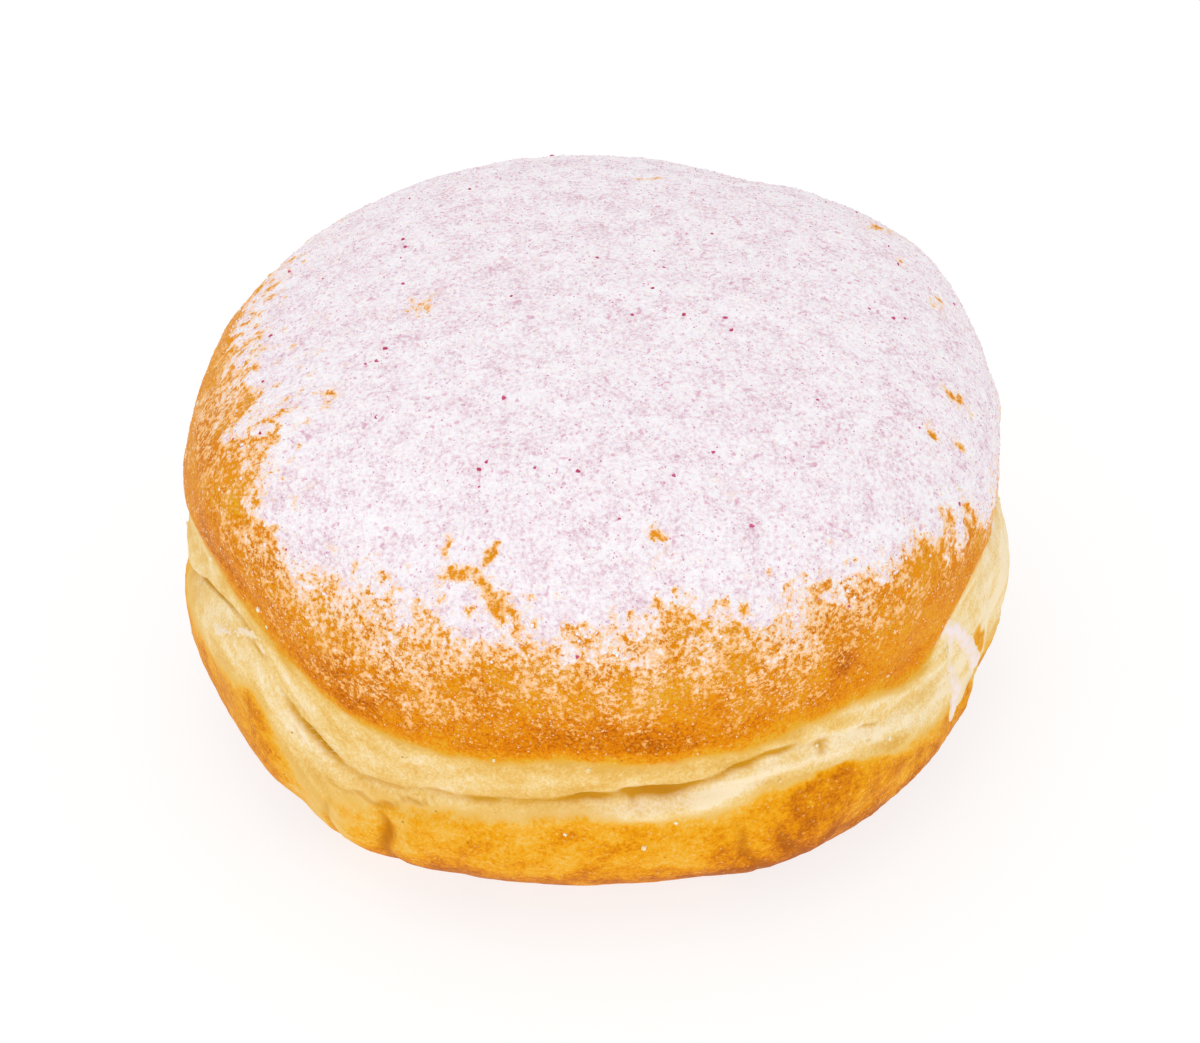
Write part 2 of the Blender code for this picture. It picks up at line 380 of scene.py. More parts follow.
def cap_cover(site):
    """The thick part of the dusting: 0 where the crust is free of it, 1 where it is covered."""
    ragged = 2.2 * swell(site.at, 7.0, 1) + 2.0 * swell(site.at, 2.6, 2) + 0.9 * swell(site.at, 1.1, 5)
    above = site.height - around(SUGAR_EDGE, site.angle) + ragged
    return smooth(*COAT_FADE, above) * (1 - bareness(site))


def clotting(site):
    """How the loose powder gathers: from next to no grains to more than their share."""
    return np.clip(0.5 + 1.6 * swell(site.at, 1.6, 61), 0.05, 1.4)


def dusting(site):
    """All of the dusting, with what has drifted down over the crust."""
    edge = around(SUGAR_EDGE, site.angle)
    up_the_band = smooth(0.0, 1.1, (site.height - site.crust_edge) / (edge - site.crust_edge))
    drift = around(LOW_DUSTING, site.angle) * (0.80 + 0.62 * up_the_band)
    drift += 0.12 * swell(site.at, 9.0, 3) + 0.12 * swell(site.at, 3.0, 4)
    drift *= smooth(-0.2, 2.2, site.height - site.crust_edge) * (1 - 0.25 * bareness(site))
    thick = 0.73 + 0.37 * smooth(-2, 10, site.height - edge) + 0.12 * swell(site.at, 5.0, 7)
    thick -= 0.34 * smooth(0.15, 0.60, swell(site.at, 1.2, 8)) * smooth(9, 1, site.height - edge)
    return np.clip(np.maximum(cap_cover(site) * thick, drift), 0, 1.2)


# ---- The skin of the dough ----

SKIN_COLUMNS = 424
SKIN_ROWS = 226
# Shifts the rows towards the belt, where the creases are
ROW_GATHER = 0.30
# How far the noise that follows the crease fades out beside its seam at the back, in degrees
SEAM_REACH = 12
# Where the pale belt fades at its edges, in mm below and above each edge
BELT_FADE_LOW = -1.2
BELT_FADE_HIGH = 0.8

# Blisters of the crust: how many, how large, and their heights on the lower and the upper half, in mm
BLISTERS = 90
BLISTER_SIZES = (0.8, 2.1)
BLISTER_HEIGHTS = [(2, 14), (26, 40)]
BLISTER_SEED = 5
# A round welt on the lower half: (angle, height, radius)
WELT = (-15, 11.6, 2.3)


def sort_faces(shape):
    """Puts the faces in the order of their corners. The ball comes with them in another order at each
    run, and the grains are sown face by face."""
    shape.verts.index_update()
    many = len(shape.verts)

    def rank(face):
        first, second, third = sorted(vert.index for vert in face.verts)[:3]
        return (first * many + second) * many + third

    shape.faces.sort(key=rank)


def belt_ball():
    """Directions and faces of a ball whose rows lie closest round the belt."""
    ball = bmesh.new()
    bmesh.ops.create_uvsphere(ball, u_segments=SKIN_COLUMNS, v_segments=SKIN_ROWS, radius=1)
    sort_faces(ball)
    for vert in ball.verts:
        lift = math.asin(max(-1, min(1, vert.co.z)))
        turn = math.atan2(vert.co.y, vert.co.x)
        lift -= ROW_GATHER * math.sin(2 * lift)
        level = math.cos(lift)
        vert.co = Vector((level * math.cos(turn), level * math.sin(turn), math.sin(lift)))
    return ball


def slit_depth(site, slits):
    """How deep short slits go, in mm, or how brown streaks are."""
    depth = np.zeros(len(site.at))
    for angle, height, length, tilt, deep, half in slits:
        run, off = tilted(site.across(angle), site.height - height, tilt)
        off = off + 0.25 * np.sin(run * 1.7)
        depth += deep * bell(run, 0, length / 2) * np.exp(-np.abs(off / half) ** 1.6)
    return depth


def wrinkle_depth(site):
    """The wrinkles that run down the lower half, in mm of depth."""
    depth = np.zeros(len(site.at))
    up = site.height - WRINKLE_HEIGHT
    for angle, lean, wide, deep in WRINKLES:
        off = site.across(angle) - lean * up / 5 + 0.4 * np.sin(site.height * 0.9 + angle)
        depth += deep * bell(up, 0, 4.5) * np.exp(-np.abs(off / wide) ** 1.5)
    return depth


def crease_depth(site):
    """The dark line of the crease, deepest on the left and at the front, healed over on the right."""
    wander = 0.35 * swell(site.at, 5.0, 11) + 0.25 * swell(site.at, 1.8, 12)
    off = site.over_line - wander
    broken = np.clip(0.9 + 0.8 * swell(site.at, 3.5, 13), 0.3, 1.3)
    half = 0.34 + 0.16 * bell(turn_between(site.angle, 5), 0, 8)
    line = np.exp(-np.abs(off / half) ** 1.7) - 0.12 * bell(off, 1.0, 0.6)
    return around(CREASE_LINE_DEPTH, site.angle) * broken * line


def bulging(site):
    """The shallow bulges and hollows of the dough, in mm of height."""
    return sum(
        rise * bell(turn_between(site.angle, angle), 0, reach) * bell(site.height, height, up)
        for angle, height, reach, up, rise in BULGES
    )


def closed_groove(site):
    """What the risen dough fills of the solid's groove, in mm of height."""
    off = site.height - site.crease
    heals = [share * bell(turn_between(site.angle, at), 0, reach) for at, reach, share in GROOVE_HEALS]
    half = np.where(off > 0, GROOVE_REACH_UP, GROOVE_REACH_DOWN)
    depth = GROOVE_DEPTH * (1 - sum(heals)) * bell(off, 0, half)
    return depth * around(GROOVE_CLOSED, site.angle)


def unrolled(site):
    """Points laid out along the crease, so that noise on them runs the way the belt is stretched."""
    reach = np.hypot(site.at[:, 0], site.at[:, 1])
    return np.column_stack([np.radians(site.angle) * HALF_WIDTH, reach, site.height - site.crease])


def seam_fade(site):
    """0 at the back, where that layout has its seam, and 1 away from it."""
    return np.clip(np.abs(turn_between(site.angle, 180)) / SEAM_REACH, 0, 1)


def fine_folds(site):
    """Fine lines of the stretched belt, in mm of depth, that fade out at the seam of the layout."""
    laid = unrolled(site)
    coarse = np.clip(1 - 7 * np.abs(swell(laid, 1.0, 21, (18, 9, 1.6))), 0, 1) ** 1.4
    fine = np.clip(1 - 6 * np.abs(swell(laid, 1.0, 22, (8.0, 9, 0.9))), 0, 1) ** 1.4
    broken = smooth(-0.15, 0.30, swell(laid, 1.0, 27, (5.0, 9, 2.4)))
    return (0.12 * coarse * broken + 0.06 * fine) * seam_fade(site)


def belt_share(site):
    """1 in the pale belt, 0 on the two fried halves."""
    below_cap = smooth(BELT_FADE_HIGH, BELT_FADE_LOW, site.height - site.crust_edge)
    above_base = smooth(BELT_FADE_LOW, BELT_FADE_HIGH, site.height - site.under_edge)
    return below_cap * above_base


def blister_relief(site, rng):
    """Small blisters of the fried halves, some of them sunk in the middle, in mm of height."""
    relief = np.zeros(len(site.at))
    places = rng.uniform(-180, 180, BLISTERS)
    heights = np.concatenate([rng.uniform(*ends, BLISTERS // 2) for ends in BLISTER_HEIGHTS])
    sizes = rng.uniform(*BLISTER_SIZES, BLISTERS)
    for angle, height, size, sunk in zip(places, heights, sizes, rng.uniform(0, 1, BLISTERS)):
        apart = np.hypot(site.across(angle), site.height - height) / size
        relief += 0.16 * bell(apart, 0, 0.8) - 0.20 * sunk * bell(apart, 0, 0.45)
    welt_angle, welt_height, welt_radius = WELT
    apart = np.hypot(site.across(welt_angle), (site.height - welt_height) * 1.2)
    return relief + 0.22 * bell(apart, welt_radius, 0.45)


def skin_relief(site):
    """How far the skin stands out from the smoothed dough, in mm, and how much darker its folds are painted:
    painted shade in the crease, slits and wrinkles, and the brown of the streaks.
    """
    belt = belt_share(site)
    fried = 1 - belt
    slits = slit_depth(site, SLITS) * np.clip(belt + 0.25, 0, 1)
    streaks = slit_depth(site, STREAKS) * belt
    crease = crease_depth(site)
    folds = crease + 0.7 * slits + 0.12 * streaks
    folds += wrinkle_depth(site) * smooth(-1, 3, site.under_edge + 1 - site.height)
    folds += fine_folds(site) * belt
    rolls = 0.13 * belt * seam_fade(site) * swell(unrolled(site), 1.0, 28, (6.0, 9, 1.5))
    ledge = 0.45 * bell(site.over_line, -1.5, 1.1) * around(LEDGE_LIGHT, site.angle)
    crust = fried * (0.12 * swell(site.at, 5.5, 23) + 0.08 * swell(site.at, 2.2, 24))
    pebbled = 0.06 * swell(site.at, 1.1, 25)
    flaky = 0.22 * np.abs(swell(site.at, 1.7, 26)) * smooth(22, 40, site.angle)
    flaky *= smooth(17, 12, site.height)
    blisters = fried * blister_relief(site, np.random.default_rng(BLISTER_SEED))
    lip = 0.22 * bell(site.height, site.crust_edge + 1.4, 1.1)
    relief = rolls + bulging(site) + closed_groove(site) + ledge
    relief = relief + crust + pebbled + flaky + blisters + lip - folds
    return relief * smooth(0.2, 3.0, site.height), folds + 0.35 * crease + 0.5 * slits + streaks


def browning(site, folds):
    """How brown each point is drawn, for both halves: 0 in the pale belt, 1 at the deepest brown. Mostly how
    fried it is, with painted shade in the folds of the lower half.
    """
    wander = 0.9 * swell(site.at, 6.0, 31) + 0.5 * swell(site.at, 2.0, 32) + 0.25 * swell(site.at, 0.8, 33)
    over = site.height - site.crust_edge + wander * 0.8
    under = site.under_edge - site.height + wander * 1.1
    rim = around(RIM_BROWNING, site.angle)
    fringe = 1.2 + 0.9 * bell(turn_between(site.angle, 38), 0, 12)
    upper = 0.42 * smooth(-fringe, 0.5, over) + (0.24 + rim) * smooth(0.2, 1.8, over)
    upper -= (0.10 + rim) * smooth(3.0, 8, over)
    spot_angle, spot_height = DARK_SPOT
    dark_spot = np.hypot(site.across(spot_angle), (site.height - spot_height) * 0.7)
    upper += 0.45 * bell(dark_spot, 0, 1.4) + 0.22 * swell(site.at, 8.0, 34) * smooth(0, 2, over)
    golden = around(LOWER_GOLD, site.angle)
    soft = 1 - 0.72 * smooth(19, 25, site.angle) * smooth(46, 38, site.angle)
    lower = golden * smooth(-1.6, 2.0, under / soft) + 0.03 * smooth(2, 8, under)
    amber = around(LOWER_AMBER, site.angle)
    patches = 0.15 * swell(site.at, 3.4, 35) + 0.13 * swell(site.at, 1.5, 39)
    lower += amber * smooth(0.5, 4.0, under / soft) + patches * smooth(0, 3, under / soft)
    # Darker towards the bottom, and darker in the folds and wrinkles, which is painted shade
    lower += 0.33 * smooth(10.0, 4.8, site.height) + 0.45 * np.clip(folds, 0, 1) * smooth(0, 2, under)
    scrap_angle, scrap_height, scrap_reach = FRIED_SCRAP
    scrap = np.hypot(site.across(scrap_angle), site.height - scrap_height) / scrap_reach
    lower = np.maximum(lower, 0.5 * smooth(1.3, 0.6, scrap + 0.5 * swell(site.at, 1.2, 38)))
    upper = np.where(site.height > site.crease, upper, 0)
    lower = np.where(site.height < site.crease + 0.5, lower, 0)
    return np.clip(upper, 0, 1.2), np.clip(lower, 0, 1.2)


def paleness(site):
    """How pale the belt is drawn, from yellow at 0 to whitish cream at 1, with painted light on the ledge
    under the crease and painted shade on the roll's lower edge above it.
    """
    laid = unrolled(site)
    tone = 0.50 + 0.34 * swell(laid, 1.0, 36, (6.0, 9, 1.7)) + 0.24 * swell(laid, 1.0, 37, (2.4, 9, 0.8))
    # Painted light on the upturned ledge under the crease; painted shade on the lower edge of the roll above
    # it
    ledge = bell(site.over_line, -1.7, 1.3) * around(LEDGE_LIGHT, site.angle)
    roll_shade = bell(site.over_line, 0.9, 0.9) * bell(turn_between(site.angle, 5), 0, 22)
    lobe = bell(turn_between(site.angle, 78), 0, 18) * smooth(12, 17, site.height)
    pillow = bell(turn_between(site.angle, -50), 0, 8) * bell(site.height, 22, 4)
    near_crust = smooth(-2.6, -0.2, site.height - site.crust_edge)
    near_crust += smooth(-2.2, 0, site.under_edge - site.height)
    right = smooth(18, 34, site.angle) * smooth(120, 90, site.angle)
    pale = tone + 0.50 * ledge + 0.2 * lobe + 0.15 * pillow + 0.11 * right - 0.2 * roll_shade - 0.30 * near_crust
    return np.clip(pale, 0, 1)


def store(mesh, name, values):
    """Keeps one number for each vertex, for the materials and the scattering to read."""
    layer = mesh.attributes.new(name, "FLOAT", "POINT")
    layer.data.foreach_set("value", np.ascontiguousarray(values, dtype=np.float32))


def piece_from(shape, name, material, flat=False):
    """Makes the bmesh an object of the scene with its material."""
    mesh = bpy.data.meshes.new(name)
    shape.to_mesh(mesh)
    shape.free()
    mesh.materials.append(material)
    if not flat:
        mesh.shade_smooth()
    return shown(name, mesh)


def positions(shape):
    """Where the vertices of a bmesh are."""
    return np.array([vert.co[:] for vert in shape.verts])


def move_to(shape, places):
    """Puts each vertex at its place, given in mm."""
    for vert, place in zip(shape.verts, places * MM):
        vert.co = place


def dough_skin():
    """The skin with all that the materials read from it, and the site of each of its vertices."""
    ball = belt_ball()
    site = Site(positions(ball))
    relief, folds = skin_relief(site)
    places = site.at + site.out * relief[:, None]
    places[:, 2] = np.maximum(places[:, 2], 0)
    move_to(ball, places)
    skin = piece_from(ball, "dough_skin", fried_dough())
    upper, lower = browning(site, folds)
    store(skin.data, "upper_fry", upper)
    store(skin.data, "lower_fry", lower)
    store(skin.data, "dusting", dusting(site))
    store(skin.data, "folds", folds)
    store(skin.data, "paleness", paleness(site))
    return skin, site


# ---- Thin shells that lie on the dough: the powder coat and the melted sugar ----

# How deep the shells are rooted in the dough, in mm
SHELL_ROOT = 0.6
# Keeps the upper face clear of the lower one until both are laid on the dough
SHELL_SPREAD = 1.02
# How far below the sugar's edge the coat's shell reaches, in mm
COAT_MARGIN = 6
# How far the coat rises between bare crust and full cover, in mm, and the cover at which it comes out
COAT_RISE = 0.42
COAT_COMES_OUT = 0.48


def shell_on_dough(name, material, coarse, cuts, keep, lift):
    """A closed thin shell: a fine upper face that lift raises or sinks, rooted in the dough.

    It starts from the part of a coarse ball that keep picks, and cuts divide its upper face."""
    shape = bmesh.new()
    bmesh.ops.create_icosphere(shape, subdivisions=coarse, radius=1)
    spare = keep(Site(positions(shape)))
    bmesh.ops.delete(shape, geom=[v for v, kept in zip(shape.verts, spare) if not kept], context="VERTS")
    upper = shape.verts.layers.float.new("upper")
    grown = bmesh.ops.extrude_face_region(shape, geom=shape.faces[:], use_keep_orig=True)["geom"]
    for part in grown:
        if isinstance(part, bmesh.types.BMVert):
            part[upper] = 1
            part.co *= SHELL_SPREAD
    edges = [e for e in shape.edges if all(v[upper] == 1 for v in e.verts)]
    bmesh.ops.subdivide_edges(shape, edges=edges, cuts=cuts, use_grid_fill=True)
    bmesh.ops.recalc_face_normals(shape, faces=shape.faces[:])
    raised = np.array([vert[upper] for vert in shape.verts]) > 0.5
    site = Site(positions(shape))
    height = np.where(raised, lift(site), -SHELL_ROOT)
    move_to(shape, site.at + site.out * height[:, None])
    piece = piece_from(shape, name, material)
    return piece, site


def sugar_coat():
    """The powder: a coat that dips under the crust wherever the dusting gives out."""

    def keep(site):
        return site.height > around(SUGAR_EDGE, site.angle) - COAT_MARGIN

    def lift(site):
        relief, _ = skin_relief(site)
        lumps = 0.10 * swell(site.at, 2.4, 41) + 0.10 * swell(site.at, 0.9, 42)
        return relief + COAT_RISE * (cap_cover(site) - COAT_COMES_OUT) + lumps

    coat, site = shell_on_dough("sugar_coat", icing_sugar(), 5, 7, keep, lift)
    cover = cap_cover(site)
    reach = np.array([vert.co.length for vert in coat.data.vertices]) / MM
    on_top = smooth(-0.3, -0.1, reach - np.linalg.norm(site.at, axis=1))
    store(coat.data, "upper_fry", browning(site, 0)[0])
    store(coat.data, "dusting", dusting(site))
    store(coat.data, "sow_lumps", on_top * smooth(0.4, 0.8, cover) * clotting(site))
    store(coat.data, "sow_fruit", on_top * smooth(0.5, 0.9, cover))
    return coat


def melted_sugar():
    """Sugar that has drawn damp and run down the right side, with a trace of it on the left."""

    def thickness(site, margin=0):
        thick = np.zeros(len(site.at))
        stray = 0.35 * swell(site.at, 2.2, 51) + 0.22 * swell(site.at, 0.9, 53)
        for half, deep, stops in MELT_RUNS:
            for (angle, height), (next_angle, next_height) in zip(stops, stops[1:]):
                run = np.array([turn_between(next_angle, angle) * DEGREE * HALF_WIDTH, next_height - height])
                place = np.column_stack([site.across(angle), site.height - height])
                share = np.clip(place @ run / (run @ run), 0, 1)
                off = np.linalg.norm(place - share[:, None] * run, axis=1) + stray - margin
                thick = np.maximum(thick, deep * bell(np.maximum(off, 0), 0, half))
        return thick

    def keep(site):
        return thickness(site, MELT_MARGIN) > MELT_SHOWS

    def lift(site):
        relief, _ = skin_relief(site)
        return relief + 0.7 * thickness(site) * (1 + 0.3 * swell(site.at, 1.6, 52)) - 0.08

    smear, site = shell_on_dough("melted_sugar", melted(), 6, 5, keep, lift)
    store(smear.data, "thickness", thickness(site))
    return smear


# ---- Loose grains, scattered over the skin ----

def octahedron(name):
    """A grain of eight faces."""
    shape = bmesh.new()
    bmesh.ops.create_uvsphere(shape, u_segments=4, v_segments=2, radius=0.5)
    return piece_from(shape, name, None, flat=True)


def lump(name):
    """A rounded clot of powder."""
    shape = bmesh.new()
    bmesh.ops.create_icosphere(shape, subdivisions=1, radius=0.5)
    for i, vert in enumerate(shape.verts):
        vert.co *= 1 + 0.25 * math.sin(i * 2.4)
    return piece_from(shape, name, None)


def crystal(name):
    """A sugar crystal: a slightly long block with its edges broken."""
    shape = bmesh.new()
    bmesh.ops.create_cube(shape, size=1)
    bmesh.ops.scale(shape, vec=(1, 0.8, 0.7), verts=shape.verts[:])
    bmesh.ops.bevel(
        shape, geom=shape.edges[:], offset=0.12, offset_type="OFFSET", affect="EDGES",
        segments=1, profile=0.5, material=-1,
    )
    return piece_from(shape, name, None, flat=True)


def add(tree, kind, feeds=None, stops=None, **settings):
    """Adds a node with its settings. A feed is a value, or the output that is linked to the input."""
    node = tree.nodes.new(kind)
    for name, value in settings.items():
        setattr(node, name, value)
    for name, value in (feeds or {}).items():
        if isinstance(value, bpy.types.NodeSocket):
            tree.links.new(value, node.inputs[name])
        else:
            node.inputs[name].default_value = value
    if stops:
        ramp = node.color_ramp
        while len(ramp.elements) < len(stops):
            ramp.elements.new(0.5)
        for element, (place, colour) in zip(ramp.elements, stops):
            element.position = place
            element.color = hexed(colour) if isinstance(colour, str) else [colour] * 3 + [1]
    return node


# How far a grain is tipped and spun to either side, in radians
GRAIN_TIP = 0.5
GRAIN_SPIN = 3.14


def scatter(name, skin, places, grain, per_mm2, sizes, squash, seed, material):
    """Sows copies of a grain over the skin, as thickly as the stored number named places says.

    A Random Value node takes the ends of a number at inputs 2 and 3, and of a vector at 0 and 1."""
    tree = bpy.data.node_groups.new(name, "GeometryNodeTree")
    tree.interface.new_socket("Geometry", in_out="INPUT", socket_type="NodeSocketGeometry")
    tree.interface.new_socket("Geometry", in_out="OUTPUT", socket_type="NodeSocketGeometry")
    source = add(tree, "NodeGroupInput")
    share = add(tree, "GeometryNodeInputNamedAttribute", {"Name": places}, data_type="FLOAT")
    density = add(tree, "ShaderNodeMath", {0: share.outputs[0], 1: per_mm2 / MM ** 2}, operation="MULTIPLY")
    sown = add(tree, "GeometryNodeDistributePointsOnFaces", {
        "Mesh": source.outputs[0], "Density": density.outputs[0], "Seed": seed,
    }, distribute_method="RANDOM")
    tint = add(tree, "FunctionNodeRandomValue", {2: 0.0, 3: 1.0, "Seed": seed + 1}, data_type="FLOAT")
    tinted = add(tree, "GeometryNodeStoreNamedAttribute", {
        "Geometry": sown.outputs[0], "Name": "tint", "Value": tint.outputs[1],
    }, data_type="FLOAT", domain="POINT")
    shape = add(tree, "GeometryNodeObjectInfo", {"Object": grain})
    spin = add(tree, "FunctionNodeRandomValue", {
        0: (-GRAIN_TIP, -GRAIN_TIP, -GRAIN_SPIN), 1: (GRAIN_TIP, GRAIN_TIP, GRAIN_SPIN),
        "Seed": seed + 2,
    }, data_type="FLOAT_VECTOR")
    turned = add(tree, "FunctionNodeRotateRotation", {
        "Rotation": sown.outputs["Rotation"], "Rotate By": spin.outputs[0],
    }, rotation_space="LOCAL")
    low, high = (size * MM for size in sizes)
    wide = add(tree, "FunctionNodeRandomValue", {2: low, 3: high, "Seed": seed + 3}, data_type="FLOAT")
    scale = add(tree, "ShaderNodeCombineXYZ", {0: wide.outputs[1], 1: wide.outputs[1]})
    flat = add(tree, "ShaderNodeMath", {0: wide.outputs[1], 1: squash}, operation="MULTIPLY")
    tree.links.new(flat.outputs[0], scale.inputs[2])
    copies = add(tree, "GeometryNodeInstanceOnPoints", {
        "Points": tinted.outputs[0], "Instance": shape.outputs["Geometry"],
        "Rotation": turned.outputs[0], "Scale": scale.outputs[0],
    })
    real = add(tree, "GeometryNodeRealizeInstances", {0: copies.outputs[0]})
    add(tree, "NodeGroupOutput", {0: real.outputs[0]})
    sower = shown(name, skin.data.copy())
    sower.modifiers.new("sow", "NODES").node_group = tree
    bpy.context.view_layer.update()
    graph = bpy.context.evaluated_depsgraph_get()
    mesh = bpy.data.meshes.new_from_object(sower.evaluated_get(graph))
    mesh.name = name
    mesh.materials.clear()
    mesh.materials.append(material)
    bpy.data.objects.remove(sower)
    bpy.data.objects.remove(grain)
    return shown(name, mesh)


def sow_sugar(skin, site, coat):
    """All the loose grains, one piece for each kind."""
    cover, dust = cap_cover(site), dusting(site)
    crust = site.height > site.crust_edge
    store(skin.data, "sow_fine", dust ** 1.5 * (1 - smooth(0.4, 0.8, cover)) * crust * clotting(site))
    belt_crumbs = 0.3 + 0.7 * (site.height > site.under_edge - 4) * (site.height < site.crust_edge + 8)
    store(skin.data, "sow_crystals", belt_crumbs * (site.height > 3) * (site.height < 40))
    return [
        scatter(
            "fine_sugar", skin, "sow_fine", octahedron("grain_a"),
            per_mm2=7.0, sizes=(0.12, 0.30), squash=0.7, seed=11,
            material=loose_powder("loose_powder", "#f7ae58", "#fbdbb6"),
        ),
        scatter(
            "sugar_lumps", coat, "sow_lumps", lump("grain_b"),
            per_mm2=0.7, sizes=(0.20, 0.48), squash=0.6, seed=21,
            material=loose_powder("powder_lumps", "#f5e4ea", "#fdf8fa"),
        ),
        scatter(
            "fruit_powder", coat, "sow_fruit", octahedron("grain_c"),
            per_mm2=0.5, sizes=(0.12, 0.26), squash=0.7, seed=31,
            material=dried_fruit("fruit_powder", "#e0a4bd", "#cf86a8"),
        ),
        scatter(
            "fruit_flecks", coat, "sow_fruit", lump("grain_d"),
            per_mm2=0.007, sizes=(0.26, 0.56), squash=0.6, seed=41,
            material=dried_fruit("fruit_flecks", "#bd2a5c", "#d45a8c"),
        ),
        scatter(
            "sugar_crystals", skin, "sow_crystals", crystal("grain_e"),
            per_mm2=0.012, sizes=(0.22, 0.56), squash=1.0, seed=51,
            material=crystal_sugar(),
        ),
    ]


# ---- Materials ----

# The inputs of a Mix node for colours: the share of the second one, the first and the second
SHARE = 0
FIRST = 6
SECOND = 7


def new_material(name):
    """A material with only its output and its Principled shader."""
    material = bpy.data.materials.new(name)
    material.use_nodes = True
    tree = material.node_tree
    return material, tree, tree.nodes["Principled BSDF"]


def all_over(shader, values):
    """Sets numbers and colours that are the same all over the surface, on the shader's own inputs."""
    for name, value in values.items():
        shader.inputs[name].default_value = value


def cells(size):
    """The scale of a noise whose swells are about size mm across, on coordinates in metres."""
    return 1 / (size * MM)


def upper_crust(tree, fried):
    """The colours of the upper half, from the yellow fringe to the brown rim."""
    return add(tree, "ShaderNodeValToRGB", {0: fried}, stops=[
        (0.16, "#e8b034"), (0.36, "#ea9e14"), (0.54, "#e88e06"), (0.74, "#da7a03"), (1.0, "#b25800"),
    ]).outputs[0]


def powdered(tree, place, dust, under):
    """Icing sugar with ground dried berry over another colour, from loose clots to a closed coat.

    The grains themselves are finer than 0.1 mm and wouldn't show, so what is drawn is their clots.
    Gives the colour, the share of the surface that is powder, and the unevenness of the powder. The darker
    lilac of the mottle is partly the berry's colour and partly painted shade between the clots."""
    clots = add(tree, "ShaderNodeTexNoise", {
        "Vector": place, "Scale": cells(0.52), "Detail": 3.0, "Roughness": 0.72,
    })
    clumps = add(tree, "ShaderNodeTexNoise", {"Vector": place, "Scale": cells(1.8), "Detail": 2.0})
    level = add(tree, "ShaderNodeMath", {0: dust, 1: 0.85}, operation="MULTIPLY")
    for noise_map, weight in ((clumps, 0.5), (clots, 1.3)):
        level = add(tree, "ShaderNodeMath", {
            0: noise_map.outputs[0], 1: weight, 2: level.outputs[0],
        }, operation="MULTIPLY_ADD")
    share = add(tree, "ShaderNodeMapRange", {
        "Value": level.outputs[0], "From Min": 1.25, "From Max": 1.38,
    }, interpolation_type="SMOOTHSTEP")
    depth = add(tree, "ShaderNodeMath", {0: dust, 1: 0.6, 2: level.outputs[0]}, operation="MULTIPLY_ADD")
    heaped = add(tree, "ShaderNodeMapRange", {
        "Value": depth.outputs[0], "From Min": 1.50, "From Max": 2.12,
    })

    mottle = add(tree, "ShaderNodeTexNoise", {
        "Vector": place, "Scale": cells(0.45), "Detail": 3.0, "Roughness": 0.75,
    })
    blush = add(tree, "ShaderNodeTexNoise", {
        "Vector": place, "Scale": cells(2.6), "Detail": 3.0, "Roughness": 0.6,
    })
    tone = add(tree, "ShaderNodeMath", {
        0: blush.outputs[0], 1: 0.50, 2: mottle.outputs[0],
    }, operation="MULTIPLY_ADD")
    # The darker lilac stops stand partly for the berry's colour and partly for painted shade between the
    # powder's clots
    powder = add(tree, "ShaderNodeValToRGB", {0: tone.outputs[0]}, stops=[
        (0.56, "#fefbfd"), (0.74, "#f8eff4"), (0.87, "#ecd6df"), (0.98, "#dcbac7"),
    ])
    berry = add(tree, "ShaderNodeTexNoise", {"Vector": place, "Scale": cells(0.62), "Detail": 0.0})
    specks = add(tree, "ShaderNodeMapRange", {
        "Value": berry.outputs[0], "From Min": 0.71, "From Max": 0.81, "To Max": 0.55,
    })
    pink = add(tree, "ShaderNodeMix", {
        SHARE: specks.outputs[0], FIRST: powder.outputs[0], SECOND: hexed("#d58bab"),
    }, data_type="RGBA")
    thin = add(tree, "ShaderNodeValToRGB", {0: heaped.outputs[0]}, stops=[
        (0.0, "#f5a23a"), (0.28, "#fbb868"), (0.55, "#fdd0a0"), (0.80, "#fbe4d6"),
    ])
    closed = add(tree, "ShaderNodeMapRange", {
        "Value": heaped.outputs[0], "From Min": 0.50, "From Max": 0.95,
    })
    film = add(tree, "ShaderNodeMix", {
        SHARE: closed.outputs[0], FIRST: thin.outputs[0], SECOND: pink.outputs[2],
    }, data_type="RGBA")
    colour = add(tree, "ShaderNodeMix", {
        SHARE: share.outputs[0], FIRST: under, SECOND: film.outputs[2],
    }, data_type="RGBA")
    return colour.outputs[2], share.outputs[0], mottle.outputs[0]


def unsettled(tree, value, shift, grain, coarseness):
    """A stored value with the uneven shift and the fine grain of the dough added to it."""
    shifted = add(tree, "ShaderNodeMath", {0: value, 1: shift}, operation="ADD")
    centred = add(tree, "ShaderNodeMath", {0: grain, 1: 0.5}, operation="SUBTRACT")
    return add(tree, "ShaderNodeMath", {
        0: centred.outputs[0], 1: coarseness, 2: shifted.outputs[0],
    }, operation="MULTIPLY_ADD").outputs[0]


